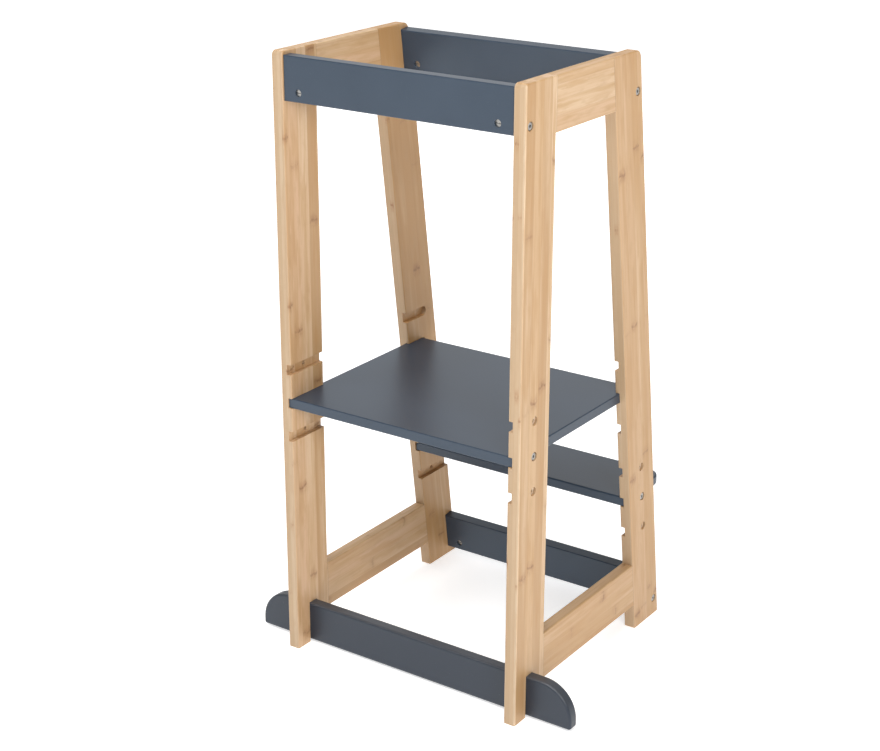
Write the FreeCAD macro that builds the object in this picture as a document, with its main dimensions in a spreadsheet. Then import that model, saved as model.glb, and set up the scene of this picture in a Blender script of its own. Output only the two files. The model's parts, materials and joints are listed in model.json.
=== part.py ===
import FreeCAD, Part

import os

import Sketcher

# Toddler kitchen helper stool: two bamboo side frames joined by painted boards,
# with a platform and a step that sit in grooves of the legs at one of three levels.
# Millimetres. +X is the child's right, +Y points from the front to the rear, +Z is up.
# The origin is on the floor, under the middle of the whole stool.

doc = FreeCAD.newDocument("HelperStool")
sheet = doc.addObject("Spreadsheet::Sheet", "size")

SIZES = {
    # Side frames
    "overall_height": 900,
    "inner_width": 366,
    "frame_thickness": 18,
    "front_leg_width": 74,
    "rear_leg_width": 73.5,
    "footprint_depth": 419.7,
    "lean_angle": 8.2,
    "top_side_rail_height": 74,
    "bottom_side_rail_height": 72.5,
    "bottom_side_rail_lift": 41.3,
    "frame_roundover": 2,
    "front_corner_radius": 7,
    "rear_corner_radius": 12,
    # Grooves for the platform and the step
    "groove_depth": 7,
    "groove_clearance": 0.4,
    "shelf_end_clearance": 0.3,
    "level_pitch": 51,
    "platform_level": 388,
    "step_level": 213,
    # Platform and step
    "shelf_thickness": 15,
    "platform_easing": 1.5,
    "platform_bearing": 36.1,
    "platform_setback": 2.7,
    "step_depth": 120,
    "step_setback": 3.44,
    "step_corner_radius": 25,
    "step_easing": 2.5,
    # Cross rails and foot board
    "board_thickness": 18,
    "board_easing": 1.5,
    "top_rail_height": 62,
    "bottom_rail_height": 60,
    "front_rail_setback": 2.7,
    "rear_rail_setback": 3.1,
    "front_rail_drop": 5,
    "rear_rail_drop": 6.5,
    "rear_bottom_rail_lift": 13,
    "foot_board_length": 548,
    "foot_board_height": 62,
    "foot_board_lift": 3.4,
    "foot_board_setback": 28.7,
    "foot_board_end_radius": 50,
    "foot_board_heel_radius": 4,
    "foot_board_easing": 3.5,
    "foot_slot_clearance": 0.3,
    # Furniture bolts and barrel nuts
    "bolt_radius": 3,
    "bolt_clearance": 0.08,
    "bolt_tip_chamfer": 0.6,
    "bolt_head_radius": 5.5,
    "bolt_head_height": 2.6,
    "bolt_head_rounding": 0.7,
    "hex_socket_width": 4,
    "hex_socket_depth": 1.8,
    "counterbore_radius": 6.4,
    "counterbore_depth": 3.6,
    "rail_bolt_length": 46,
    "rail_bolt_height": 13,
    "barrel_nut_distance": 24.6,
    "barrel_nut_radius": 5,
    "barrel_nut_length": 13,
    "barrel_nut_recess": 2.5,
    "barrel_nut_clearance": 0.1,
    "nut_slot_width": 1.4,
    "nut_slot_depth": 1.2,
    "rail_bolt_run_out": 4,
    # Lock bolts and their threaded inserts
    "lock_bolt_length": 20,
    "insert_radius": 4.5,
    "insert_length": 13,
    "insert_recess": 0.4,
    "insert_clearance": 0.05,
    # Wooden dowels
    "dowel_radius": 4,
    "dowel_length": 30,
    "dowel_clearance": 0.1,
    "dowel_end_clearance": 0.3,
    "side_dowel_inset": 15,
    "rail_dowel_height": 45,
    "rail_dowel_leg_depth": 10,
    # Foot board screws
    "screw_radius": 2,
    "screw_length": 40,
    "screw_head_radius": 4,
    "screw_head_height": 2.6,
    "screw_recess": 0.5,
    "screw_clearance": 0.1,
    "screw_height": 22,
    # Extra length of what only cuts
    "tool_margin": 40,
}

for row, (alias, number) in enumerate(SIZES.items(), start=1):
    sheet.set(f"A{row}", alias)
    sheet.set(f"B{row}", str(number))
    sheet.setAlias(f"B{row}", alias)
doc.recompute()

X_AXIS = FreeCAD.Vector(1, 0, 0)
Y_AXIS = FreeCAD.Vector(0, 1, 0)
Z_AXIS = FreeCAD.Vector(0, 0, 1)
QUARTER_TURN = 90
HALF_TURN = 180
FULL_TURN = 360
LEVELS = (-1, 0, 1)
TINY = 0.01


# ---------------------------------------------------------------- expressions

def half(expression):
    return f"({expression}) / 2"


LEAN = "size.lean_angle"
INNER_X = half("size.inner_width")
OUTER_X = f"({INNER_X} + size.frame_thickness)"
MIDDLE_X = f"({INNER_X} + size.frame_thickness / 2)"
HEAD_SEAT_X = f"({OUTER_X} - size.counterbore_depth)"
GROOVE_FLOOR_X = f"({INNER_X} + size.groove_depth)"
GROOVE_HEIGHT = "(size.shelf_thickness + size.groove_clearance)"
SHELF_LENGTH = f"(2 * ({GROOVE_FLOOR_X} - size.shelf_end_clearance))"
HEEL_FROM_FRONT = f"(size.footprint_depth - size.rear_leg_width / cos({LEAN}))"
STEP_TOP = "(size.step_level + size.shelf_thickness)"
STEP_FROM_FRONT = f"({HEEL_FROM_FRONT} - {STEP_TOP} * tan({LEAN}) + size.step_setback)"
FRONT_Y = f"(-({STEP_FROM_FRONT} + size.step_depth) / 2)"
FRONT_LEG_REAR_Y = f"({FRONT_Y} + size.front_leg_width)"
FRONT_LEG_MIDDLE_Y = f"({FRONT_Y} + size.front_leg_width / 2)"
PLATFORM_Y = f"({FRONT_Y} + size.platform_setback)"
PLATFORM_REAR_Y = (f"({FRONT_Y} + {HEEL_FROM_FRONT} - size.platform_level * tan({LEAN})"
                   " + size.platform_bearing)")
STEP_Y = f"({FRONT_Y} + {STEP_FROM_FRONT})"
FOOT_BOARD_Y = f"({FRONT_Y} + size.foot_board_setback)"
SLOT_TOP = "(size.foot_board_lift + size.foot_board_height + size.foot_slot_clearance)"
WINDOW_SILL = "(size.bottom_side_rail_lift + size.bottom_side_rail_height)"
WINDOW_HEAD = "(size.overall_height - size.top_side_rail_height)"


def rear_leg_front_y(height):
    """The rear leg's leading edge at a height above the floor."""
    return f"({FRONT_Y} + {HEEL_FROM_FRONT} - ({height}) * tan({LEAN}))"


def rear_leg_rear_y(height):
    return f"({FRONT_Y} + size.footprint_depth - ({height}) * tan({LEAN}))"


def rear_leg_middle_y(height):
    return f"({rear_leg_front_y(height)} + size.rear_leg_width / cos({LEAN}) / 2)"


def groove_floor_z(level, index):
    return f"({level} + {index} * size.level_pitch)"


def shelf_middle_z(level, index):
    return f"({groove_floor_z(level, index)} + size.shelf_thickness / 2)"


def value(expression):
    """What an expression of the sheet's sizes comes to now."""
    return float(sheet.evalExpression(expression.replace("size.", "")))


# -------------------------------------------------------------------- helpers

def bind(item, **expressions):
    """Drive properties of an object by expressions; two underscores stand for a dot."""
    for name, expression in expressions.items():
        item.setExpression(name.replace("__", "."), expression)
    return item


def place(item, x="0", y="0", z="0", axis=None, angle="0"):
    """Set an object's Placement by expressions, turned about an axis by an angle."""
    if axis is not None:
        item.Placement = FreeCAD.Placement(FreeCAD.Vector(), FreeCAD.Rotation(axis, value(angle)))
        item.setExpression("Placement.Rotation.Angle", angle)
    return bind(item, Placement__Base__x=x, Placement__Base__y=y, Placement__Base__z=z)


def box(name, x, y, z, length, width, height):
    block = bind(doc.addObject("Part::Box", name), Length=length, Width=width, Height=height)
    return place(block, x, y, z)


def rod_along_x(name, x, y, z, radius, length):
    """A cylinder that starts at x and runs towards +X."""
    rod = bind(doc.addObject("Part::Cylinder", name), Radius=radius, Height=length)
    return place(rod, x, y, z, Y_AXIS, str(QUARTER_TURN))


def rod_along_y(name, x, y, z, radius, length):
    """A cylinder that starts at y and runs towards +Y."""
    rod = bind(doc.addObject("Part::Cylinder", name), Radius=radius, Height=length)
    return place(rod, x, y, z, X_AXIS, str(-QUARTER_TURN))


def fuse(name, pieces):
    union = doc.addObject("Part::MultiFuse", name)
    union.Shapes = pieces
    return union


def cut(name, base, tools):
    """The base less all the tools. Each tool has to take something away."""
    removal = doc.addObject("Part::Cut", name)
    removal.Base = base
    removal.Tool = tools[0] if len(tools) == 1 else fuse(f"{name}_tools", tools)
    doc.recompute()
    for tool in tools:
        if base.Shape.common(tool.Shape).Volume < TINY:
            raise RuntimeError(f"{tool.Name} cuts nothing from {name}")
    return removal


def common(name, base, tool):
    overlap = doc.addObject("Part::Common", name)
    overlap.Base = base
    overlap.Tool = tool
    return overlap


def mirrored(name, source):
    """The same piece on the stool's left side."""
    copy = doc.addObject("Part::Mirroring", name)
    copy.Source = source
    copy.Normal = X_AXIS
    return copy


def both_sides(name, source):
    """A right and a left piece as one group of separate solids."""
    group = doc.addObject("Part::Compound", name)
    group.Links = [source, mirrored(f"{name}_left", source)]
    return group


def new_body(name):
    return doc.addObject("PartDesign::Body", name)


def origin_plane(body, role):
    return next(item for item in body.Origin.OriginFeatures if item.Role == role)


def new_sketch(body, name, role, offset="0"):
    sketch = body.newObject("Sketcher::SketchObject", name)
    sketch.AttachmentSupport = [(origin_plane(body, role), "")]
    sketch.MapMode = "FlatFace"
    return bind(sketch, AttachmentOffset__Base__z=offset)


def hold(sketch, kind, geometry, point, expression):
    """Hold a point's distance from the sketch's origin by an expression."""
    number = sketch.addConstraint(Sketcher.Constraint(kind, -1, 1, geometry, point, value(expression)))
    sketch.setExpression(f"Constraints[{number}]", expression)


def draw_outline(sketch, corners):
    """A closed outline of straight lines through corners given as pairs of expressions."""
    first = sketch.GeometryCount
    points = [FreeCAD.Vector(value(across), value(up), 0) for across, up in corners]
    count = len(points)
    for index, point in enumerate(points):
        sketch.addGeometry(Part.LineSegment(point, points[(index + 1) % count]), False)
    for index, (across, up) in enumerate(corners):
        line, following = first + index, first + (index + 1) % count
        sketch.addConstraint(Sketcher.Constraint("Coincident", line, 2, following, 1))
        hold(sketch, "DistanceX", line, 1, across)
        hold(sketch, "DistanceY", line, 1, up)


def draw_circle(sketch, across, up, radius):
    centre = FreeCAD.Vector(value(across), value(up), 0)
    circle = sketch.addGeometry(Part.Circle(centre, Z_AXIS, value(radius)), False)
    hold(sketch, "DistanceX", circle, 3, across)
    hold(sketch, "DistanceY", circle, 3, up)
    number = sketch.addConstraint(Sketcher.Constraint("Radius", circle, value(radius)))
    sketch.setExpression(f"Constraints[{number}]", radius)


def rectangle(x_low, y_low, x_high, y_high):
    return [(x_low, y_low), (x_high, y_low), (x_high, y_high), (x_low, y_high)]


def pad(body, sketch, length, reverse=False, symmetric=False):
    feature = body.newObject("PartDesign::Pad", f"{body.Name}_pad")
    feature.Profile = sketch
    feature.Reversed = reverse
    if symmetric:
        feature.SideType = "Symmetric"
    bind(feature, Length=length)
    doc.recompute()
    return feature


def pocket(body, sketch, depth, reverse):
    """A pocket that has to remove wood, so that a wrong direction is noticed."""
    before = body.Shape.Volume
    feature = body.newObject("PartDesign::Pocket", f"{sketch.Name}_pocket")
    feature.Profile = sketch
    feature.Reversed = reverse
    bind(feature, Length=depth)
    doc.recompute()
    if before - body.Shape.Volume < TINY:
        raise RuntimeError(f"{sketch.Name} removes nothing")
    return feature


def mirror_feature(body, feature):
    """Repeat a feature on the other side of the body's YZ plane."""
    before = body.Shape.Volume
    mirror = body.newObject("PartDesign::Mirrored", f"{feature.Name}_mirrored")
    mirror.Originals = [feature]
    mirror.MirrorPlane = (origin_plane(body, "YZ_Plane"), [""])
    body.Tip = mirror
    doc.recompute()
    if before - body.Shape.Volume < TINY:
        raise RuntimeError(f"{mirror.Name} removes nothing")
    return mirror


def round_edges(body, name, radius, wanted):
    """Fillet the edges of the body's tip that a test picks out."""
    base = body.Tip
    edges = [f"Edge{index}" for index, edge in enumerate(base.Shape.Edges, start=1) if wanted(edge)]
    fillet = body.newObject("PartDesign::Fillet", name)
    fillet.Base = (base, edges)
    bind(fillet, Radius=radius)
    doc.recompute()
    return fillet


def runs_along(edge, axis):
    ends = edge.Vertexes
    if len(ends) < 2:
        return False
    along = ends[1].Point - ends[0].Point
    return along.Length > TINY and along.cross(axis).Length < TINY * along.Length


def stays_at(edge, coordinate, number):
    """Whether an edge lies in the plane where a coordinate has this value."""
    box_of_edge = edge.BoundBox
    low = getattr(box_of_edge, f"{coordinate}Min")
    high = getattr(box_of_edge, f"{coordinate}Max")
    return abs(low - number) < TINY and abs(high - number) < TINY


# ---------------------------------------------------------------- side frames

def side_frame_blank():
    """The right side frame in one piece, edges rounded, before it is parted into members."""
    body = new_body("frame_blank")
    sketch = new_sketch(body, "frame_outline", "YZ_Plane")
    height = "size.overall_height"
    lift = "size.bottom_side_rail_lift"
    draw_outline(sketch, [
        (FRONT_Y, "0"),
        (FRONT_LEG_REAR_Y, "0"),
        (FRONT_LEG_REAR_Y, lift),
        (rear_leg_front_y(lift), lift),
        (rear_leg_front_y("0"), "0"),
        (rear_leg_rear_y("0"), "0"),
        (rear_leg_rear_y(height), height),
        (FRONT_Y, height),
    ])
    draw_outline(sketch, [
        (FRONT_LEG_REAR_Y, WINDOW_SILL),
        (rear_leg_front_y(WINDOW_SILL), WINDOW_SILL),
        (rear_leg_front_y(WINDOW_HEAD), WINDOW_HEAD),
        (FRONT_LEG_REAR_Y, WINDOW_HEAD),
    ])
    pad(body, sketch, "size.frame_thickness")
    top = value(height)
    for name, radius, corner_y in (
            ("front_top_corner", "size.front_corner_radius", FRONT_Y),
            ("rear_top_corner", "size.rear_corner_radius", rear_leg_rear_y(height))):
        at_y = value(corner_y)
        round_edges(body, name, radius, lambda edge: (
            runs_along(edge, X_AXIS) and stays_at(edge, "Z", top) and stays_at(edge, "Y", at_y)))
    faces = (0, value("size.frame_thickness"))
    round_edges(body, "frame_roundover", "size.frame_roundover", lambda edge: (
        any(stays_at(edge, "X", face) for face in faces) and not stays_at(edge, "Z", 0)))
    return place(body, INNER_X)


def member_zones():
    """Blocks that hold the front leg, what lies behind it, the rear leg and the upper half."""
    margin = "size.tool_margin"
    wide = f"(size.frame_thickness + 2 * {margin})"
    tall = f"(size.overall_height + 2 * {margin})"
    deep = f"(size.footprint_depth + 2 * {margin})"
    left = f"({INNER_X} - {margin})"
    front = box("front_leg_zone", left, f"({FRONT_Y} - {margin})", f"-{margin}",
                wide, f"(size.front_leg_width + {margin})", tall)
    rear = doc.addObject("Part::Box", "rear_leg_zone")
    bind(rear, Length=wide, Width=deep, Height=tall)
    place(rear, left, f"{rear_leg_front_y('0')} + {margin} * sin({LEAN})",
          f"-{margin} * cos({LEAN})", X_AXIS, LEAN)
    behind = box("rail_zone", left, FRONT_LEG_REAR_Y, f"-{margin}", wide, deep, tall)
    upper = box("upper_zone", left, f"({FRONT_Y} - {margin})", half("size.overall_height"),
                wide, deep, tall)
    return front, rear, behind, upper


def lock_hole_tools(name, y_of_height, level):
    """Clearance holes and counterbores for a lock bolt at the three levels of a shelf."""
    tools = []
    for index in LEVELS:
        z = shelf_middle_z(level, index)
        tools.append(bolt_hole_tool(f"{name}_{index + 1}", y_of_height(z), z))
    return tools


def bolt_hole_tool(name, y, z):
    """A bolt's clearance hole through a leg and the counterbore of its head."""
    hole = rod_along_x(f"{name}_hole", f"({INNER_X} - size.tool_margin)", y, z,
                       "size.bolt_radius + size.bolt_clearance",
                       "size.frame_thickness + 2 * size.tool_margin")
    bore = rod_along_x(f"{name}_counterbore", HEAD_SEAT_X, y, z,
                       "size.counterbore_radius", "size.tool_margin")
    return fuse(f"{name}_drill", [hole, bore])


def front_leg_tools(front_rail):
    margin = "size.tool_margin"
    across = f"({GROOVE_FLOOR_X} + {margin})"
    tools = []
    for index in LEVELS:
        tools.append(box(f"front_groove_{index + 1}", f"-{margin}", f"({FRONT_Y} - {margin})",
                         groove_floor_z("size.platform_level", index), across,
                         f"(size.front_leg_width + 2 * {margin})", GROOVE_HEIGHT))
    tools.append(box("foot_slot", f"({INNER_X} - {margin})",
                     f"({FOOT_BOARD_Y} - size.foot_slot_clearance)", f"-{margin}",
                     f"(size.frame_thickness + 2 * {margin})",
                     "(size.board_thickness + size.foot_slot_clearance)",
                     f"({SLOT_TOP} + {margin})"))
    tools += lock_hole_tools("platform_lock", lambda z: FRONT_LEG_MIDDLE_Y, "size.platform_level")
    tools.append(bolt_hole_tool(front_rail["name"], *rail_point(front_rail, "bolt")))
    tools.append(rail_dowel_hole(front_rail))
    return tools


def rear_leg_tools(rear_top_rail, rear_bottom_rail):
    margin = "size.tool_margin"
    across = f"({GROOVE_FLOOR_X} + {margin})"
    tools = []
    for index in LEVELS:
        floor = groove_floor_z("size.platform_level", index)
        run = box(f"stopped_groove_{index + 1}", f"-{margin}", FRONT_Y, floor,
                  across, f"({PLATFORM_REAR_Y} - {FRONT_Y})", GROOVE_HEIGHT)
        end = rod_along_x(f"groove_end_{index + 1}", f"-{margin}", PLATFORM_REAR_Y,
                          f"({floor} + {half(GROOVE_HEIGHT)})", half(GROOVE_HEIGHT), across)
        tools.append(fuse(f"platform_groove_{index + 1}", [run, end]))
    for index in LEVELS:
        tools.append(box(f"step_groove_{index + 1}", f"-{margin}", FRONT_Y,
                         groove_floor_z("size.step_level", index), across,
                         "size.footprint_depth", GROOVE_HEIGHT))
    tools += lock_hole_tools("step_lock", rear_leg_middle_y, "size.step_level")
    for rail in (rear_top_rail, rear_bottom_rail):
        tools.append(bolt_hole_tool(rail["name"], *rail_point(rail, "bolt")))
        tools.append(rail_dowel_hole(rail))
    return tools


def side_dowel_spots():
    """Name, the joint's y and z of each dowel in the butt joints of a side frame."""
    inset = "size.side_dowel_inset"
    heights = {
        "top_upper": f"(size.overall_height - {inset})",
        "top_lower": f"({WINDOW_HEAD} + {inset})",
        "bottom_upper": f"({WINDOW_SILL} - {inset})",
        "bottom_lower": f"(size.bottom_side_rail_lift + {inset})",
    }
    spots = []
    for name, z in heights.items():
        spots.append((f"{name}_front", FRONT_LEG_REAR_Y, z))
        spots.append((f"{name}_rear", rear_leg_front_y(z), z))
    return spots


def side_dowel_hole(name, y, z):
    """One drilling through the joint, half in the leg and half in the rail."""
    depth = "(size.dowel_length / 2 + size.dowel_end_clearance)"
    return rod_along_y(f"{name}_hole", MIDDLE_X, f"({y} - {depth})", z,
                       "size.dowel_radius + size.dowel_clearance", f"2 * {depth}")


def side_dowels():
    dowels = [rod_along_y(f"{name}_dowel", MIDDLE_X, f"({y} - size.dowel_length / 2)", z,
                          "size.dowel_radius", "size.dowel_length")
              for name, y, z in side_dowel_spots()]
    right = doc.addObject("Part::Compound", "right_frame_dowels")
    right.Links = dowels
    return right


def side_frame(front_rail, rear_top_rail, rear_bottom_rail):
    """Part the blank into its four members, then cut their grooves, slots and holes."""
    blank = side_frame_blank()
    front_zone, rear_zone, behind_zone, upper_zone = member_zones()
    holes = {name: side_dowel_hole(name, y, z) for name, y, z in side_dowel_spots()}

    def holes_of(*words):
        return [hole for name, hole in holes.items() if all(word in name for word in words)]

    between = cut("between_legs", common("behind_front_leg", blank, behind_zone), [rear_zone])
    front_leg = cut("right_front_leg", common("front_leg_blank", blank, front_zone),
                    front_leg_tools(front_rail) + [foot_screw_tool()] + holes_of("front"))
    rear_leg = cut("right_rear_leg", common("rear_leg_blank", blank, rear_zone),
                   rear_leg_tools(rear_top_rail, rear_bottom_rail) + holes_of("rear"))
    top_rail = cut("right_top_side_rail", common("top_side_rail_blank", between, upper_zone),
                   holes_of("top"))
    bottom_rail = cut("right_bottom_side_rail",
                      cut("bottom_side_rail_blank", between, [upper_zone]), holes_of("bottom"))
    return [front_leg, rear_leg, top_rail, bottom_rail]


# ---------------------------------------------------------------- cross rails

def rail_places():
    """Where the three cross rails stand: lower front edge, lean and height of each."""
    upright = "0"
    rear_seat = f"((size.board_thickness + size.rear_rail_setback) / cos({LEAN}))"
    top_z = ("(size.overall_height - size.rear_rail_drop"
             f" - size.board_thickness * sin({LEAN}) - size.top_rail_height * cos({LEAN}))")
    bottom_z = "size.rear_bottom_rail_lift"
    front = {"name": "front_top_rail", "lean": upright, "height": "size.top_rail_height",
             "y": f"({FRONT_Y} + size.front_rail_setback)",
             "z": "(size.overall_height - size.front_rail_drop - size.top_rail_height)"}
    rear_top = {"name": "rear_top_rail", "lean": LEAN, "height": "size.top_rail_height",
                "y": f"({rear_leg_rear_y(top_z)} - {rear_seat})", "z": top_z}
    rear_bottom = {"name": "rear_bottom_rail", "lean": LEAN, "height": "size.bottom_rail_height",
                   "y": f"({rear_leg_rear_y(bottom_z)} - {rear_seat})", "z": bottom_z}
    return front, rear_top, rear_bottom


FASTENER_HEIGHTS = {"bolt": "size.rail_bolt_height", "dowel": "size.rail_dowel_height"}


def rail_point(rail, fastener, across="size.board_thickness / 2"):
    """The y and z of a fastener's axis, in the middle of a rail's thickness by default."""
    lean, up = rail["lean"], FASTENER_HEIGHTS[fastener]
    y = f"({rail['y']} + ({across}) * cos({lean}) - {up} * sin({lean}))"
    z = f"({rail['z']} + ({across}) * sin({lean}) + {up} * cos({lean}))"
    return y, z


def rail_dowel_hole(rail):
    """The leg's blind hole for a rail's dowel."""
    y, z = rail_point(rail, "dowel")
    return rod_along_x(f"{rail['name']}_dowel_hole", f"({INNER_X} - size.tool_margin)", y, z,
                       "size.dowel_radius + size.dowel_clearance",
                       "size.tool_margin + size.rail_dowel_leg_depth + size.dowel_end_clearance")


def cross_rail(rail):
    """A painted board with eased edges, drilled for bolts, barrel nuts and dowels."""
    body = new_body(rail["name"])
    name, thickness = body.Name, "size.board_thickness"
    profile = new_sketch(body, f"{name}_profile", "YZ_Plane")
    draw_outline(profile, rectangle("0", "0", thickness, rail["height"]))
    pad(body, profile, "size.inner_width", symmetric=True)
    faces = (0, value(thickness))
    round_edges(body, f"{name}_easing", "size.board_easing",
                lambda edge: any(stays_at(edge, "Y", face) for face in faces))

    nuts = new_sketch(body, f"{name}_nut_holes", "XZ_Plane")
    nut_x = f"({INNER_X} - size.barrel_nut_distance)"
    for side in ("", "-"):
        draw_circle(nuts, f"{side}{nut_x}", FASTENER_HEIGHTS["bolt"],
                    "size.barrel_nut_radius + size.barrel_nut_clearance")
    pocket(body, nuts, "size.barrel_nut_length + size.barrel_nut_recess", reverse=False)

    drillings = (
        ("bolt", "size.bolt_radius + size.bolt_clearance",
         "size.rail_bolt_length - size.frame_thickness + size.counterbore_depth"
         " + size.rail_bolt_run_out"),
        ("dowel", "size.dowel_radius + size.dowel_clearance",
         "size.dowel_length - size.rail_dowel_leg_depth + size.dowel_end_clearance"))
    for fastener, radius, depth in drillings:
        sketch = new_sketch(body, f"{name}_{fastener}_holes", "YZ_Plane", INNER_X)
        draw_circle(sketch, half(thickness), FASTENER_HEIGHTS[fastener], radius)
        mirror_feature(body, pocket(body, sketch, depth, reverse=False))
    if rail["lean"] == LEAN:
        return place(body, "0", rail["y"], rail["z"], X_AXIS, LEAN)
    return place(body, "0", rail["y"], rail["z"])


def rail_dowels(rails):
    dowels = []
    for rail in rails:
        y, z = rail_point(rail, "dowel")
        dowels.append(rod_along_x(f"{rail['name']}_dowel",
                                  f"({INNER_X} + size.rail_dowel_leg_depth - size.dowel_length)",
                                  y, z, "size.dowel_radius", "size.dowel_length"))
    right = doc.addObject("Part::Compound", "right_rail_dowels")
    right.Links = dowels
    return both_sides("rail_dowels", right)


# ----------------------------------------------------- foot board and shelves

def foot_board():
    """The board across the front legs, with quarter-round ends that reach past them."""
    body = new_body("foot_board")
    outline = new_sketch(body, "foot_board_outline", "XZ_Plane")
    end = half("size.foot_board_length")
    draw_outline(outline, rectangle(f"-{end}", "0", end, "size.foot_board_height"))
    pad(body, outline, "size.board_thickness", reverse=True)
    for name, radius, at_z in (("round_ends", "size.foot_board_end_radius", "size.foot_board_height"),
                               ("heels", "size.foot_board_heel_radius", "0")):
        corner_z = value(at_z)
        round_edges(body, f"foot_board_{name}", radius, lambda edge: (
            runs_along(edge, Y_AXIS) and stays_at(edge, "Z", corner_z)))
    faces = (0, value("size.board_thickness"))
    round_edges(body, "foot_board_rounding", "size.foot_board_easing",
                lambda edge: any(stays_at(edge, "Y", face) for face in faces))
    pilots = new_sketch(body, "foot_board_pilots", "XZ_Plane", "-size.board_thickness")
    for side in ("", "-"):
        draw_circle(pilots, f"{side}{MIDDLE_X}", "size.screw_height - size.foot_board_lift",
                    "size.screw_radius + size.screw_clearance")
    pocket(body, pilots, screw_bite(), reverse=True)
    return place(body, "0", FOOT_BOARD_Y, "size.foot_board_lift")


def screw_bite():
    """How deep the pilot hole of a foot board screw is in the board."""
    return (f"({FOOT_BOARD_Y} + size.board_thickness - {FRONT_LEG_REAR_Y}"
            " + size.screw_recess + size.screw_length + size.screw_clearance)")


def shelf(name, depth, lock_distance, y, z, easing, corner_radius=None):
    """A painted board whose ends sit in grooves, with a hole for an insert in each end."""
    body = new_body(name)
    outline = new_sketch(body, f"{name}_outline", "XY_Plane")
    end = half(SHELF_LENGTH)
    draw_outline(outline, rectangle(f"-{end}", "0", end, depth))
    pad(body, outline, "size.shelf_thickness")
    if corner_radius:
        rear = value(depth)
        round_edges(body, f"{name}_corners", corner_radius, lambda edge: (
            runs_along(edge, Z_AXIS) and stays_at(edge, "Y", rear)))
    faces = (0, value("size.shelf_thickness"))
    round_edges(body, f"{name}_rounding", easing,
                lambda edge: any(stays_at(edge, "Z", face) for face in faces))
    sketch = new_sketch(body, f"{name}_insert_holes", "YZ_Plane", end)
    draw_circle(sketch, lock_distance, half("size.shelf_thickness"),
                "size.insert_radius + size.insert_clearance")
    drilling = pocket(body, sketch, "size.insert_length + size.insert_recess + size.insert_clearance",
                      reverse=False)
    mirror_feature(body, drilling)
    return place(body, "0", y, z)


def insert_nuts(name, y, z):
    """The threaded inserts in both ends of a shelf."""
    start = f"({half(SHELF_LENGTH)} - size.insert_recess - size.insert_length)"
    barrel = rod_along_x(f"{name}_barrel", start, y, z, "size.insert_radius", "size.insert_length")
    thread = rod_along_x(f"{name}_thread", f"({start} - size.tool_margin)", y, z,
                         "size.bolt_radius + size.insert_clearance",
                         "size.insert_length + 2 * size.tool_margin")
    return both_sides(name, cut(f"{name}_right", barrel, [thread]))


# ------------------------------------------------------------------ fasteners

def turned(name, profile):
    """A round piece turned about its own X axis from a half profile."""
    body = new_body(name)
    sketch = new_sketch(body, f"{name}_profile", "XZ_Plane")
    draw_outline(sketch, profile)
    turn = body.newObject("PartDesign::Revolution", f"{name}_turned")
    turn.Profile = sketch
    turn.ReferenceAxis = (sketch, ["H_Axis"])
    turn.Angle = FULL_TURN
    doc.recompute()
    return body


def socket_bolt(name, length, y, z):
    """A furniture bolt with a thin round head and a hexagon socket, in the right frame."""
    radius, chamfer = "size.bolt_radius", "size.bolt_tip_chamfer"
    head, top, rounding = "size.bolt_head_radius", "size.bolt_head_height", "size.bolt_head_rounding"
    body = turned(name, [
        (f"-{length}", "0"),
        (f"-{length}", f"{radius} - {chamfer}"),
        (f"{chamfer} - {length}", radius),
        ("0", radius),
        ("0", head),
        (f"{top} - {rounding}", head),
        (top, f"{head} - {rounding}"),
        (top, "0"),
    ])
    sides = 6
    sketch = new_sketch(body, f"{name}_socket", "YZ_Plane", top)
    corner = f"size.hex_socket_width / 2 / cos({HALF_TURN / sides})"
    draw_outline(sketch, [(f"{corner} * cos({index * FULL_TURN / sides})",
                           f"{corner} * sin({index * FULL_TURN / sides})") for index in range(sides)])
    pocket(body, sketch, "size.hex_socket_depth", reverse=False)
    return place(body, HEAD_SEAT_X, y, z)


def barrel_nuts(name, rail):
    """The two cross nuts of a rail, their slotted ends just below its front face."""
    recess, reach = "size.barrel_nut_recess", "size.barrel_nut_length"
    nut_x = f"({INNER_X} - size.barrel_nut_distance)"
    radius, margin = "size.barrel_nut_radius", "size.tool_margin"
    barrel = rod_along_y(f"{name}_barrel", nut_x, recess, "0", radius, reach)
    thread = rod_along_x(f"{name}_thread", f"({nut_x} - {margin})", half("size.board_thickness"), "0",
                         "size.bolt_radius + size.bolt_clearance", f"2 * {margin}")
    slot = box(f"{name}_slot", f"({nut_x} - {radius})", f"({recess} - {margin})",
               "-size.nut_slot_width / 2", f"2 * {radius}",
               f"({margin} + size.nut_slot_depth)", "size.nut_slot_width")
    nut = cut(f"{name}_right", barrel, [thread, slot])
    y, z = rail_point(rail, "bolt", across="0")
    if rail["lean"] == LEAN:
        place(nut, "0", y, z, X_AXIS, LEAN)
    else:
        place(nut, "0", y, z)
    return both_sides(name, nut)


def foot_screw(name):
    """A countersunk screw through a front leg's rear edge into the foot board."""
    radius, head = "size.screw_radius", "size.screw_head_radius"
    length, cone = "size.screw_length", "size.screw_head_height"
    return turned(name, [
        (f"-{length}", "0"),
        (f"{radius} * 2 - {length}", radius),
        (f"-{cone}", radius),
        ("0", head),
        ("0", "0"),
    ])


def foot_screws():
    screw = foot_screw("foot_screw_right")
    place(screw, MIDDLE_X, f"({FRONT_LEG_REAR_Y} - size.screw_recess)", "size.screw_height",
          Z_AXIS, str(QUARTER_TURN))
    return both_sides("foot_board_screws", screw)


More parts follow.
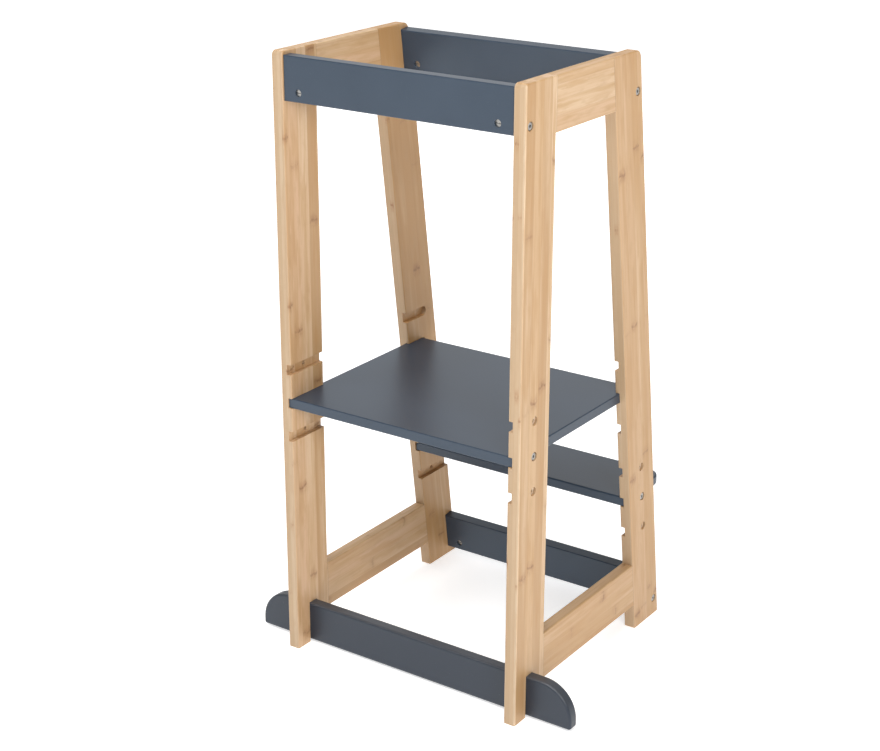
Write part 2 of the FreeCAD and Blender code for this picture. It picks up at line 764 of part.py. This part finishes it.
def foot_screw_tool():
    """The clearance hole and countersink of a foot board screw in the front leg."""
    margin, clearance = "size.tool_margin", "size.screw_clearance"
    y = f"({FRONT_LEG_REAR_Y} - size.screw_recess)"
    hole = rod_along_y("foot_screw_hole", MIDDLE_X, FOOT_BOARD_Y, "size.screw_height",
                       f"size.screw_radius + {clearance}", f"{y} - {FOOT_BOARD_Y}")
    sink = doc.addObject("Part::Cone", "foot_screw_sink")
    bind(sink, Radius1=f"size.screw_radius + {clearance}", Radius2=f"size.screw_head_radius + {clearance}",
         Height=f"size.screw_head_height + {clearance}")
    place(sink, MIDDLE_X, f"({y} - size.screw_head_height)", "size.screw_height",
          X_AXIS, str(-QUARTER_TURN))
    mouth = rod_along_y("foot_screw_mouth", MIDDLE_X, f"({y} + {clearance})", "size.screw_height",
                        f"size.screw_head_radius + {clearance}", margin)
    return fuse("foot_screw_drill", [hole, sink, mouth])


# ------------------------------------------------------------------- assembly

def build():
    """Build every sub-part and return the objects by the name of their node."""
    rails = front_rail, rear_top_rail, rear_bottom_rail = rail_places()
    parts = {}
    for member in side_frame(*rails):
        parts[member.Name] = member
        left_name = member.Name.replace("right", "left")
        parts[left_name] = mirrored(left_name, member)
    right_dowels = side_dowels()
    parts["right_frame_dowels"] = right_dowels
    parts["left_frame_dowels"] = mirrored("left_frame_dowels", right_dowels)

    for rail in rails:
        parts[rail["name"]] = cross_rail(rail)
        prefix = rail["name"].replace("_rail", "")
        bolt = socket_bolt(f"{prefix}_bolt", "size.rail_bolt_length", *rail_point(rail, "bolt"))
        parts[f"{prefix}_bolts"] = both_sides(f"{prefix}_bolts", bolt)
        parts[f"{prefix}_barrel_nuts"] = barrel_nuts(f"{prefix}_barrel_nuts", rail)
    parts["rail_dowels"] = rail_dowels(rails)

    parts["foot_board"] = foot_board()
    parts["foot_board_screws"] = foot_screws()

    platform_z = shelf_middle_z("size.platform_level", 0)
    step_z = shelf_middle_z("size.step_level", 0)
    parts["platform"] = shelf("platform", f"{PLATFORM_REAR_Y} - {PLATFORM_Y}",
                              f"{FRONT_LEG_MIDDLE_Y} - {PLATFORM_Y}", PLATFORM_Y, "size.platform_level",
                              "size.platform_easing")
    parts["step"] = shelf("step", "size.step_depth", f"{rear_leg_middle_y(step_z)} - {STEP_Y}",
                          STEP_Y, "size.step_level", "size.step_easing", "size.step_corner_radius")
    for name, y, z in (("platform", FRONT_LEG_MIDDLE_Y, platform_z),
                       ("step", rear_leg_middle_y(step_z), step_z)):
        parts[f"{name}_inserts"] = insert_nuts(f"{name}_inserts", y, z)
        right = socket_bolt(f"right_{name}_lock_bolt", "size.lock_bolt_length", y, z)
        parts[right.Name] = right
        parts[f"left_{name}_lock_bolt"] = mirrored(f"left_{name}_lock_bolt", right)
    return parts


def check(parts):
    for item in doc.Objects:
        if "Invalid" in item.State or "Error" in item.State:
            raise RuntimeError(f"{item.Name} is in state {item.State}")
    for name, part in parts.items():
        if part.Shape.isNull() or not part.Shape.isValid() or not part.Shape.Solids:
            raise RuntimeError(f"{name} has no valid solid")


def export(parts):
    os.makedirs("parts", exist_ok=True)
    for name, part in parts.items():
        part.Label = name
        part.Shape.exportStep(f"parts/{name}.step")
        print(name, len(part.Shape.Solids), "solids", round(part.Shape.Volume), "mm3")


stool = build()
doc.recompute()
check(stool)
export(stool)
print("lock bolt travel", round(value(f"size.lock_bolt_length - {HEAD_SEAT_X} + {GROOVE_FLOOR_X}"), 2))
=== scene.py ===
import json
import math

import bmesh
import bpy
from mathutils import Matrix, Vector


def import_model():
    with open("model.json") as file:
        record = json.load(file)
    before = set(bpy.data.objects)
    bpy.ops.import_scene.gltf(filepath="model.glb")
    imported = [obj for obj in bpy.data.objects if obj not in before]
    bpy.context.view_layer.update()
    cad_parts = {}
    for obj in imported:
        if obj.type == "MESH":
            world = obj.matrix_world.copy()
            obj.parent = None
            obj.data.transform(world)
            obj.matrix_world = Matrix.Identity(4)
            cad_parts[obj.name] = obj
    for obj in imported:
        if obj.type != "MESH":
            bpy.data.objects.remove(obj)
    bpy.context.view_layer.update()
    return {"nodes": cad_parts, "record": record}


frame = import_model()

# Toddler kitchen helper stool: laminated bamboo side frames, boards painted a satin
# anthracite, bright furniture bolts. Metres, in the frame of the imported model.

NODES = frame["nodes"]
MM = 0.001
SIDEWAYS = (1, 0, 0)
BACKWARDS = (0, 1, 0)
UPWARDS = (0, 0, 1)

# Which way a member's strips run, and which way their width lies
LEAN = math.radians(8.2)                # how far the rear legs lean forwards
UPRIGHT = (UPWARDS, BACKWARDS)
LEANING = ((0, -math.sin(LEAN), math.cos(LEAN)), (0, math.cos(LEAN), math.sin(LEAN)))
LEVEL = (BACKWARDS, UPWARDS)

# The camera, as found from the photograph's perspective
IMAGE_WIDTH = 880
FOCAL_PIXELS = 1791.5
SENSOR_WIDTH = 36.0                     # Blender's own unit here is the millimetre
CAMERA_PLACE = (1.34341, -2.05734, 1.33459)
CAMERA_AZIMUTH = 0.60401                # radians round to the right of straight on
CAMERA_ELEVATION = 0.35940              # radians above the horizon
CAMERA_ROLL = 0.00193
CAMERA_REACH = 100.0                    # past the floor's far edge

# Studio light: place, width, height and power in watts of each soft box
LIGHT_AIM = (0, 0, 0.5)
LIGHTS = {
    "overhead_light": ((0.2, 0.0, 4.0), 3.0, 3.0, 40),
    "upper_front_light": ((0.0, -2.2, 3.6), 3.0, 3.0, 106),
    "right_light": ((1.9, -1.35, 1.4), 0.8, 0.8, 25),
    "back_light": ((-1.4, 3.6, 1.9), 4.5, 3.0, 37),
    "left_light": ((-2.6, 0.6, 2.0), 2.0, 2.0, 18),
}
WHITE = (1, 1, 1, 1)
WORLD_STRENGTH = 0.12                   # what the surroundings add to the light
BACKDROP_STRENGTH = 1.0                 # and how bright they look behind the stool

# The floor shines more away from the stool, to stay white
FLOOR_GREY = (0.9, 0.9, 0.9, 1)
FLOOR_GLOW_NEAR = (0.58, 0.58, 0.58, 1)
FLOOR_GLOW_FAR = WHITE
FLOOR_NEAR_RADIUS = 1.2
FLOOR_FAR_RADIUS = 3.5
FLOOR_HALF_WIDTH = 30.0
FLOOR_DROP = 0.3 * MM                   # under the legs, so that the two faces don't coincide

# Laminated bamboo
STRIP_WIDTH = 20 * MM
LAYER_THICKNESS = 6 * MM
LAYER_START = 0.02                      # where they begin, in layers from the stool's middle
LAYER_STAGGER = 0.37                    # how far each layer's strips are set over, in strips
MEMBER_STAGGER = 0.61                   # and each member's, for each step of its seed
FIRST_SEED = 7                          # of the chances that a member's strips are drawn with
SEED_STEP = 4
SHIFT_SEED = 31.7                       # added for the chance that moves a strip's figure
BOW_SEED = 77.1                         # and for the one that bows its joints
# how strongly the front and rear faces are dulled: edge grain together with painted shade
LAYER_EDGE_AND_SHADE_STRENGTH = 0.58
GLUE_LINE = 0.35 * MM                   # where the dark line starts to show, from its middle
GLUE_LINE_CORE = 0.05 * MM              # and where it is full
SEAM_HALF_WIDTH = 0.45 * MM             # the dark line where a rail meets a leg
SEAM_CORE = 0.5 * SEAM_HALF_WIDTH

# A growth joint's mark. The reaches say how far off each part has faded out and is full.
JOINT_PITCH = 240 * MM                  # from one growth joint to the next along a strip
JOINT_BOW = 17 * MM                     # how strongly the mark curves over its strip
JOINT_WANDER = 9 * MM                   # how far it strays along the strip
JOINT_SCATTER = 5.3                     # how far chance moves a strip's joints, in pitches
STAIN_REACH = (15 * MM, 1 * MM)
LINE_REACH = (2.8 * MM, 0.6 * MM)
DOTS_REACH = (8 * MM, 2 * MM)

# The empty holes for the lock bolts
COUNTERBORE_RADIUS = 6.4 * MM
COUNTERBORE_EDGE = 0.97 * COUNTERBORE_RADIUS
COUNTERBORE_FLOOR = 197.4 * MM          # how far out from the stool's middle they end
CUT_BEGINS = COUNTERBORE_FLOOR - 0.5 * MM
CUT_FULL = COUNTERBORE_FLOOR - 0.1 * MM
LEVEL_PITCH = 51 * MM                   # from one setting of the platform or step to the next

CREAM = (0.745, 0.560, 0.368, 1)
PINK = (0.690, 0.470, 0.295, 1)
HONEY = (0.630, 0.425, 0.240, 1)
TAN = (0.505, 0.308, 0.152, 1)
AMBER = (0.480, 0.257, 0.090, 1)
STRIP_TONES = [(0.0, TAN), (0.24, HONEY), (0.48, PINK), (0.74, CREAM), (1.0, HONEY)]
LAYER_EDGE_AND_SHADE_TONE = (0.390, 0.300, 0.205, 1)   # of the layers' edges on the front and rear faces, with painted shade on these faces
FRESH_CUT = (0.690, 0.540, 0.390, 1)    # inside the drilled holes, where there is no lacquer
STAIN_BROWN = (0.360, 0.180, 0.074, 1)
MARK_BROWN = (0.250, 0.115, 0.045, 1)
SEAM_BROWN = (0.130, 0.072, 0.038, 1)

# Each member's strips, and how much darker than the palest its wood is made: the wood's own tone together
# with painted shade, most of all on the rear legs
FRAME_MEMBERS = {
    "left_front_leg": (UPRIGHT, 0.15),
    "left_rear_leg": (LEANING, 0.82),
    "left_top_side_rail": (LEVEL, 0.10),
    "left_bottom_side_rail": (LEVEL, 0.05),
    "right_front_leg": (UPRIGHT, 0.0),
    "right_rear_leg": (LEANING, 0.50),
    "right_top_side_rail": (LEVEL, 0.20),
    "right_bottom_side_rail": (LEVEL, 0.38),
}
SHELF_OF_LEG = {"front_leg": "platform", "rear_leg": "step"}

# Satin anthracite paint
PAINT = (0.030, 0.048, 0.074, 1)
PAINT_PALE = (0.034, 0.053, 0.081, 1)
# painted shade: the foot board's paint is darker than the other boards', because the light is weaker low
# down
PAINT_PAINTED_SHADE = (0.016, 0.025, 0.041, 1)
PAINT_LIT_TOP = (0.062, 0.068, 0.080, 1)    # painted light on the foot board's narrow top, as if lit from above
TOP_LIGHT_STRENGTH = 0.9
DUST = (0.100, 0.118, 0.140, 1)

# Fasteners and dowels
STEEL = (0.40, 0.39, 0.37, 1)
STEEL_DULL = (0.19, 0.18, 0.165, 1)
BRASS = (0.60, 0.44, 0.20, 1)
BRASS_PALE = (0.75, 0.58, 0.30, 1)
BEECH = (0.55, 0.37, 0.21, 1)
BEECH_PALE = (0.70, 0.50, 0.31, 1)


# -------------------------------------------------------------- shader helpers

class Value:
    """A number that a shader works out. Python's operators add Math nodes."""

    def __init__(self, nodes, socket):
        self.nodes = nodes
        self.socket = socket

    def __add__(self, other):
        return self.nodes.math("ADD", self, other)

    def __sub__(self, other):
        return self.nodes.math("SUBTRACT", self, other)

    def __rsub__(self, other):
        return self.nodes.math("SUBTRACT", other, self)

    def __mul__(self, other):
        return self.nodes.math("MULTIPLY", self, other)

    def __truediv__(self, other):
        return self.nodes.math("DIVIDE", self, other)

    def __abs__(self):
        return self.nodes.math("ABSOLUTE", self)

    __radd__ = __add__
    __rmul__ = __mul__

    def floor(self):
        return self.nodes.math("FLOOR", self)

    def fraction(self):
        return self.nodes.math("FRACT", self)

    def at_most(self, other):
        return self.nodes.math("MINIMUM", self, other)

    def step(self, low, high):
        """0 at low and 1 at high, with a smooth rise between them. low may be above high."""
        return self.nodes.add("ShaderNodeMapRange", {"interpolation_type": "SMOOTHSTEP"},
                              {"Value": self, "From Min": low, "From Max": high}, "Result")


class Nodes:
    """A node tree, and the one method that its nodes are made with."""

    def __init__(self, tree):
        self.tree = tree

    def set(self, node, inputs):
        """Fill a node's sockets with values or links."""
        for name, given in inputs.items():
            socket = node.inputs[name]
            if isinstance(given, Value):
                self.tree.links.new(given.socket, socket)
            else:
                socket.default_value = given

    def add(self, kind, settings, inputs, output=0):
        """Add a node, make its settings, then fill its sockets."""
        node = self.tree.nodes.new(kind)
        for name, setting in settings.items():
            if name == "stops":
                ramp = node.color_ramp
                while len(ramp.elements) < len(setting):
                    ramp.elements.new(0.5)
                for element, (place, colour) in zip(ramp.elements, setting):
                    element.position = place
                    element.color = colour
            else:
                setattr(node, name, setting)
        self.set(node, inputs)
        return Value(self, node.outputs[output])

    def math(self, operation, *inputs):
        return self.add("ShaderNodeMath", {"operation": operation}, dict(enumerate(inputs)))

    def vector_math(self, operation, *inputs, output="Value"):
        return self.add("ShaderNodeVectorMath", {"operation": operation}, dict(enumerate(inputs)), output)


class Shader(Nodes):
    """A new material with one Principled surface, and the patterns that it is made from."""

    def __init__(self, name):
        self.material = bpy.data.materials.new(name)
        self.material.use_nodes = True
        super().__init__(self.material.node_tree)
        self.tree.nodes.clear()
        self.surface = self.tree.nodes.new("ShaderNodeBsdfPrincipled")
        output = self.tree.nodes.new("ShaderNodeOutputMaterial")
        self.tree.links.new(self.surface.outputs[0], output.inputs["Surface"])

    def place(self):
        """The point on the piece, in metres."""
        return self.add("ShaderNodeTexCoord", {}, {}, "Object")

    def along(self, direction):
        """How far the point lies along a direction."""
        return self.vector_math("DOT_PRODUCT", self.place(), direction)

    def facing(self, direction):
        """1 where the surface faces a direction, 0 square to it and -1 away from it."""
        normal = self.add("ShaderNodeTexCoord", {}, {}, "Normal")
        return self.vector_math("DOT_PRODUCT", normal, direction)

    def from_axis(self, point):
        """How far the surface lies from a line along X through a point."""
        flat = self.vector_math("MULTIPLY", self.place(), (0, 1, 1), output="Vector")
        return self.vector_math("DISTANCE", flat, (0, point[1], point[2]))

    def vector(self, x, y, z):
        return self.add("ShaderNodeCombineXYZ", {}, {0: x, 1: y, 2: z})

    def noise(self, vector, scale=1.0, detail=2.0, roughness=0.5):
        return self.add("ShaderNodeTexNoise", {},
                        {"Vector": vector, "Scale": scale, "Detail": detail, "Roughness": roughness})

    def chance(self, *cell):
        """A number drawn once for each whole-number cell."""
        return self.add("ShaderNodeTexWhiteNoise", {}, {"Vector": self.vector(*cell)}, "Value")

    def ramp(self, factor, stops):
        return self.add("ShaderNodeValToRGB", {"stops": stops}, {0: factor})

    def mix(self, factor, first, second):
        return self.add("ShaderNodeMix", {"data_type": "RGBA"}, {0: factor, 6: first, 7: second}, 2)

    def bump(self, height, distance, strength):
        return self.add("ShaderNodeBump", {},
                        {"Strength": strength, "Distance": distance, "Height": height})

    def finish(self, **inputs):
        """Fill the surface's sockets, where two words stand for a socket's two-word name."""
        self.set(self.surface, {name.replace("_", " "): given for name, given in inputs.items()})
        return self.material


# ---------------------------------------------------------------------- bamboo

class Strips:
    """Where a point lies in a member pressed from strips, and what chance gave its strip.

    The layers lie one on the other along X, so a member's narrow sides show their edges.
    """

    def __init__(self, shader, directions, seed):
        grain, across = directions
        self.shader = shader
        self.seed = seed
        self.run = shader.along(grain)
        self.side = shader.along(across)
        self.depth = shader.along(SIDEWAYS)
        self.layer_place = self.depth / LAYER_THICKNESS + LAYER_START + seed
        self.layer = self.layer_place.floor()
        self.strip_place = self.side / STRIP_WIDTH + self.layer * LAYER_STAGGER + seed * MEMBER_STAGGER
        self.strip = self.strip_place.floor()
        self.middle = self.strip_place.fraction() - 0.5     # -0.5 to 0.5 over the strip's width
        self.tone = shader.chance(self.strip, self.layer, seed)
        self.shift = shader.chance(self.strip, self.layer, seed + SHIFT_SEED)
        self.bow = shader.chance(self.strip, self.layer, seed + BOW_SEED)

    def figure(self, across, along, detail=2.0, roughness=0.5, aside=0.0, onward=0.0):
        """Noise drawn out along the grain, moved aside or onward from strip to strip."""
        place = self.shader.vector(self.side * across, self.depth * across + aside,
                                   self.run * along + onward)
        return self.shader.noise(place, detail=detail, roughness=roughness)


def figured(strips, colour):
    """Add slow changes of tint, streaks a few millimetres wide, mottle and flame."""
    drift = strips.figure(across=34, along=3.4, aside=strips.shift * 40)
    glow = strips.figure(across=46, along=2.1, aside=strips.bow * 40)
    streak = strips.figure(across=190, along=5, detail=3.0, onward=strips.bow * 7)
    mottle = strips.figure(across=90, along=26, detail=4.0, roughness=0.6, onward=strips.shift * 13)
    flame = strips.figure(across=70, along=8, detail=3.0, roughness=0.55, onward=strips.bow * 5)
    for figure, begins, full, strength, tint in [
        (drift, 0.38, 0.72, 0.30, AMBER),
        (glow, 0.50, 0.78, 0.50, CREAM),
        (streak, 0.42, 0.74, 0.40, AMBER),
        (mottle, 0.48, 0.70, 0.42, TAN),
        (flame, 0.50, 0.60, 0.34, AMBER),
    ]:
        colour = strips.shader.mix(figure.step(begins, full) * strength, colour, tint)
    return colour


def edge_grain_and_shade(strips, colour):
    """Make the faces that show the layers' edges, to the front and rear, duller: partly the edge grain,
    partly painted shade on these faces.
    """
    edge_on = abs(strips.shader.facing(BACKWARDS)).step(0.35, 0.80)
    return strips.shader.mix(edge_on * LAYER_EDGE_AND_SHADE_STRENGTH, colour, LAYER_EDGE_AND_SHADE_TONE)


def jointed(strips, colour):
    """Add the growth joints: a brown line that bows over one strip, in a blotchy stain."""
    s = strips.shader
    middle = strips.middle
    wander = strips.figure(across=110, along=60) - 0.5
    bowed = strips.run + middle * middle * (strips.bow - 0.5) * 2 * JOINT_BOW
    joint_place = (bowed + wander * JOINT_WANDER) / JOINT_PITCH + strips.shift * JOINT_SCATTER
    from_joint = abs(joint_place.fraction() - 0.5) * JOINT_PITCH

    boldness = s.chance(strips.strip, joint_place.floor(), strips.layer + strips.seed).step(0.15, 0.85)
    inside = (0.5 - abs(middle)).step(0.0, 0.16)
    blotch = strips.figure(across=160, along=120, detail=3.0).step(0.34, 0.60)
    fleck = strips.figure(across=480, along=260).step(0.50, 0.66)
    stain = from_joint.step(*STAIN_REACH) * (blotch * 0.75 + 0.25) * boldness * inside
    line = from_joint.step(*LINE_REACH) * (blotch * 0.6 + 0.4) * boldness * inside
    dots = from_joint.step(*DOTS_REACH) * fleck * boldness * inside
    colour = s.mix(stain * 0.52, colour, STAIN_BROWN)
    return s.mix((line * 0.58 + dots * 0.30).at_most(0.7), colour, MARK_BROWN)


def glue_lines(strips):
    """1 on the lines between strips and between layers."""
    from_edge = (0.5 - abs(strips.middle)) * STRIP_WIDTH
    from_face = (0.5 - abs(strips.layer_place.fraction() - 0.5)) * LAYER_THICKNESS
    return from_edge.at_most(from_face).step(GLUE_LINE, GLUE_LINE_CORE)


def drilled(strips, colour, holes):
    """Show fresh wood in each hole's counterbore. A hole is a point on its axis."""
    s = strips.shader
    outside_floor = abs(strips.depth).step(CUT_BEGINS, CUT_FULL)
    for point_on_axis in holes:
        inside = s.from_axis(point_on_axis).step(COUNTERBORE_RADIUS, COUNTERBORE_EDGE)
        colour = s.mix(inside * outside_floor, colour, FRESH_CUT)
    return colour


def bamboo(name, directions, tone_and_shade, seed, seams, holes):
    """Lacquered bamboo pressed from flat strips in layers.

    A seam is a direction and how far along it a neighbouring member starts.
    """
    s = Shader(name)
    strips = Strips(s, directions, seed)
    fibres = strips.figure(across=1300, along=16, detail=3.0, roughness=0.6, onward=strips.shift * 9)
    glue = glue_lines(strips)

    # Each member is darkened towards amber: partly its wood's own tone, partly painted shade.
    colour = s.mix(tone_and_shade, s.ramp(strips.tone, STRIP_TONES), AMBER)
    colour = edge_grain_and_shade(strips, figured(strips, colour))
    colour = s.mix(fibres.step(0.36, 0.72) * 0.16, colour, AMBER)
    colour = s.mix(glue * 0.26, jointed(strips, colour), STAIN_BROWN)
    colour = drilled(strips, colour, holes)
    height = fibres * 0.7 - glue * 0.5
    for direction, start in seams:
        seam = abs(s.along(direction) - start).step(SEAM_HALF_WIDTH, SEAM_CORE)
        colour = s.mix(seam * 0.75, colour, SEAM_BROWN)
        height = height - seam
    return s.finish(
        Base_Color=colour,
        Roughness=0.46 + fibres * 0.10,
        Normal=s.bump(height, 0.05 * MM, 0.5),
        Coat_Weight=0.08,
        Coat_Roughness=0.25,
    )


# ------------------------------------------------------------- other materials

def satin_paint(name, tone=PAINT, pale_tone=PAINT_PALE, painted_light_tone=None):
    """Anthracite paint on a smooth board: a fine orange peel, a few specks of dust, and, where a top tone
    is given, painted light on the faces that look up.
    """
    s = Shader(name)
    point = s.place()
    cloud = s.noise(point, scale=9.0, detail=3.0)
    peel = s.noise(point, scale=900.0, detail=2.0)
    speck = s.noise(point, scale=420.0, detail=1.0).step(0.74, 0.80)
    colour = s.mix(cloud.step(0.35, 0.70), tone, pale_tone)
    if painted_light_tone:
        # painted light: the faces that look up are made paler
        top_light_mask = s.facing(UPWARDS).step(0.15, 0.75)
        colour = s.mix(top_light_mask * TOP_LIGHT_STRENGTH, colour, painted_light_tone)
    colour = s.mix(speck * 0.25, colour, DUST)
    return s.finish(
        Base_Color=colour,
        Roughness=0.34 + cloud * 0.05,
        Normal=s.bump(peel, 0.02 * MM, 0.30),
    )


def bright_steel(name):
    """Zinc-plated steel with faint turning marks and a dull film."""
    s = Shader(name)
    point = s.place()
    marks = s.noise(point, scale=1400.0, detail=3.0, roughness=0.7)
    film = s.noise(point, scale=160.0, detail=2.0).step(0.4, 0.75)
    return s.finish(
        Base_Color=s.mix(film * 0.6, STEEL, STEEL_DULL),
        Metallic=1.0,
        Roughness=0.22 + marks * 0.16,
        Normal=s.bump(marks, 0.02 * MM, 0.4),
    )


def insert_metal(name):
    """Plain brass of the threaded inserts."""
    s = Shader(name)
    marks = s.noise(s.place(), scale=1200.0, detail=3.0)
    return s.finish(Base_Color=s.mix(marks, BRASS, BRASS_PALE), Metallic=1.0, Roughness=0.3 + marks * 0.15)


def raw_beech(name):
    """Unfinished dowels."""
    s = Shader(name)
    fleck = s.noise(s.place(), scale=700.0, detail=3.0)
    return s.finish(Base_Color=s.mix(fleck, BEECH, BEECH_PALE), Roughness=0.65,
                    Normal=s.bump(fleck, 0.1 * MM, 0.5))


# ---------------------------------------------------------- dressing the pieces

def dress(node, material):
    """Give a CAD node one material."""
    for slot in NODES[node].material_slots:
        slot.material = material


def corner(node, pick_y, pick_z):
    """The y and z of one corner of a CAD node's box, picked with min or max."""
    box = NODES[node].bound_box
    return pick_y(point[1] for point in box), pick_z(point[2] for point in box)


def rail_seams(side):
    """Where a side rail meets the front leg and the leaning rear leg."""
    front_y, _ = corner(f"{side}_front_leg", max, max)
    rear_y, rear_z = corner(f"{side}_rear_leg", min, max)
    square_on = LEANING[1]
    return [(BACKWARDS, front_y), (square_on, rear_y * square_on[1] + rear_z * square_on[2])]


def empty_holes(side, shelf, grain):
    """The holes above and below a lock bolt, one setting away along the leg."""
    box = [Vector(point) for point in NODES[f"{side}_{shelf}_lock_bolt"].bound_box]
    bolt = sum(box, Vector()) / len(box)
    along_leg = Vector(grain) * (LEVEL_PITCH / grain[2])
    return [bolt + along_leg, bolt - along_leg]


def dress_frames():
    for number, (name, (directions, tone_and_shade)) in enumerate(FRAME_MEMBERS.items()):
        side, member = name.split("_", 1)
        seams = rail_seams(side) if directions is LEVEL else ()
        holes = empty_holes(side, SHELF_OF_LEG[member], directions[0]) if member in SHELF_OF_LEG else ()
        seed = FIRST_SEED + SEED_STEP * number
        dress(name, bamboo(f"bamboo_{name}", directions, tone_and_shade, seed, seams, holes))


def dress_boards_and_fasteners():
    finishes = {"grey_paint": satin_paint("anthracite_paint"), "steel": bright_steel("bright_steel"),
                "insert_metal": insert_metal("insert_metal"), "beech": raw_beech("raw_beech")}
    for part in frame["record"]["subparts"]:
        if part["material_slot"] in finishes:
            dress(part["node"], finishes[part["material_slot"]])
    # The foot board gets painted shade all over and painted light on its top.
    dress("foot_board", satin_paint("anthracite_paint_foot_board_shade_and_light", PAINT_PAINTED_SHADE, PAINT_PAINTED_SHADE, PAINT_LIT_TOP))


# ------------------------------------------------------ floor, light and camera

def floor():
    """A plain pale floor, wide enough to fill every view."""
    grid = bmesh.new()
    bmesh.ops.create_grid(grid, x_segments=1, y_segments=1, size=FLOOR_HALF_WIDTH,
                          matrix=Matrix.Translation((0, 0, -FLOOR_DROP)))
    mesh = bpy.data.meshes.new("floor")
    grid.to_mesh(mesh)
    grid.free()
    plane = bpy.data.objects.new("floor", mesh)
    bpy.context.scene.collection.objects.link(plane)
    s = Shader("pale_floor")
    radius = s.vector_math("LENGTH", s.place())
    glow = s.mix(radius.step(FLOOR_NEAR_RADIUS, FLOOR_FAR_RADIUS), FLOOR_GLOW_NEAR, FLOOR_GLOW_FAR)
    mesh.materials.append(s.finish(Base_Color=FLOOR_GREY, Roughness=0.9,
                                   Emission_Color=glow, Emission_Strength=1.0))


def world():
    """White surroundings that look bright but light the stool only a little."""
    studio = bpy.data.worlds.new("studio")
    studio.use_nodes = True
    bpy.context.scene.world = studio
    nodes = Nodes(studio.node_tree)
    seen = nodes.add("ShaderNodeLightPath", {}, {}, "Is Camera Ray")
    strength = nodes.add("ShaderNodeMapRange", {}, {
        "Value": seen, "To Min": WORLD_STRENGTH, "To Max": BACKDROP_STRENGTH})
    nodes.set(studio.node_tree.nodes["Background"], {"Color": WHITE, "Strength": strength})


def soft_box(name, place, width, height, power):
    """A rectangular light that is turned towards the stool."""
    light = bpy.data.lights.new(name, "AREA")
    light.shape = "RECTANGLE"
    light.size, light.size_y = width, height
    light.energy = power
    lamp = bpy.data.objects.new(name, light)
    bpy.context.scene.collection.objects.link(lamp)
    lamp.location = place
    lamp.rotation_mode = "QUATERNION"
    lamp.rotation_quaternion = (Vector(LIGHT_AIM) - Vector(place)).to_track_quat("-Z", "Y")


def lights():
    for name, (place, width, height, power) in LIGHTS.items():
        soft_box(name, place, width, height, power)


def camera_turn():
    """The camera's axes, as the columns of a matrix, from its three angles."""
    azimuth, elevation, roll = CAMERA_AZIMUTH, CAMERA_ELEVATION, CAMERA_ROLL
    forward = Vector((-math.sin(azimuth) * math.cos(elevation),
                      math.cos(azimuth) * math.cos(elevation), -math.sin(elevation)))
    right = forward.cross(Vector(UPWARDS)).normalized()
    up = right.cross(forward)
    right, up = (right * math.cos(roll) + up * math.sin(roll),
                 up * math.cos(roll) - right * math.sin(roll))
    return Matrix((right, up, -forward)).transposed()


def camera():
    lens = bpy.data.cameras.new("camera")
    lens.sensor_fit = "HORIZONTAL"
    lens.sensor_width = SENSOR_WIDTH
    lens.lens = FOCAL_PIXELS / IMAGE_WIDTH * SENSOR_WIDTH
    lens.clip_end = CAMERA_REACH
    eye = bpy.data.objects.new("camera", lens)
    bpy.context.scene.collection.objects.link(eye)
    eye.location = CAMERA_PLACE
    eye.rotation_mode = "QUATERNION"
    eye.rotation_quaternion = camera_turn().to_quaternion()
    bpy.context.scene.camera = eye


def colour_management():
    settings = bpy.context.scene.view_settings
    settings.view_transform = "Standard"
    settings.look = "None"


dress_frames()
dress_boards_and_fasteners()
floor()
world()
lights()
camera()
colour_management()
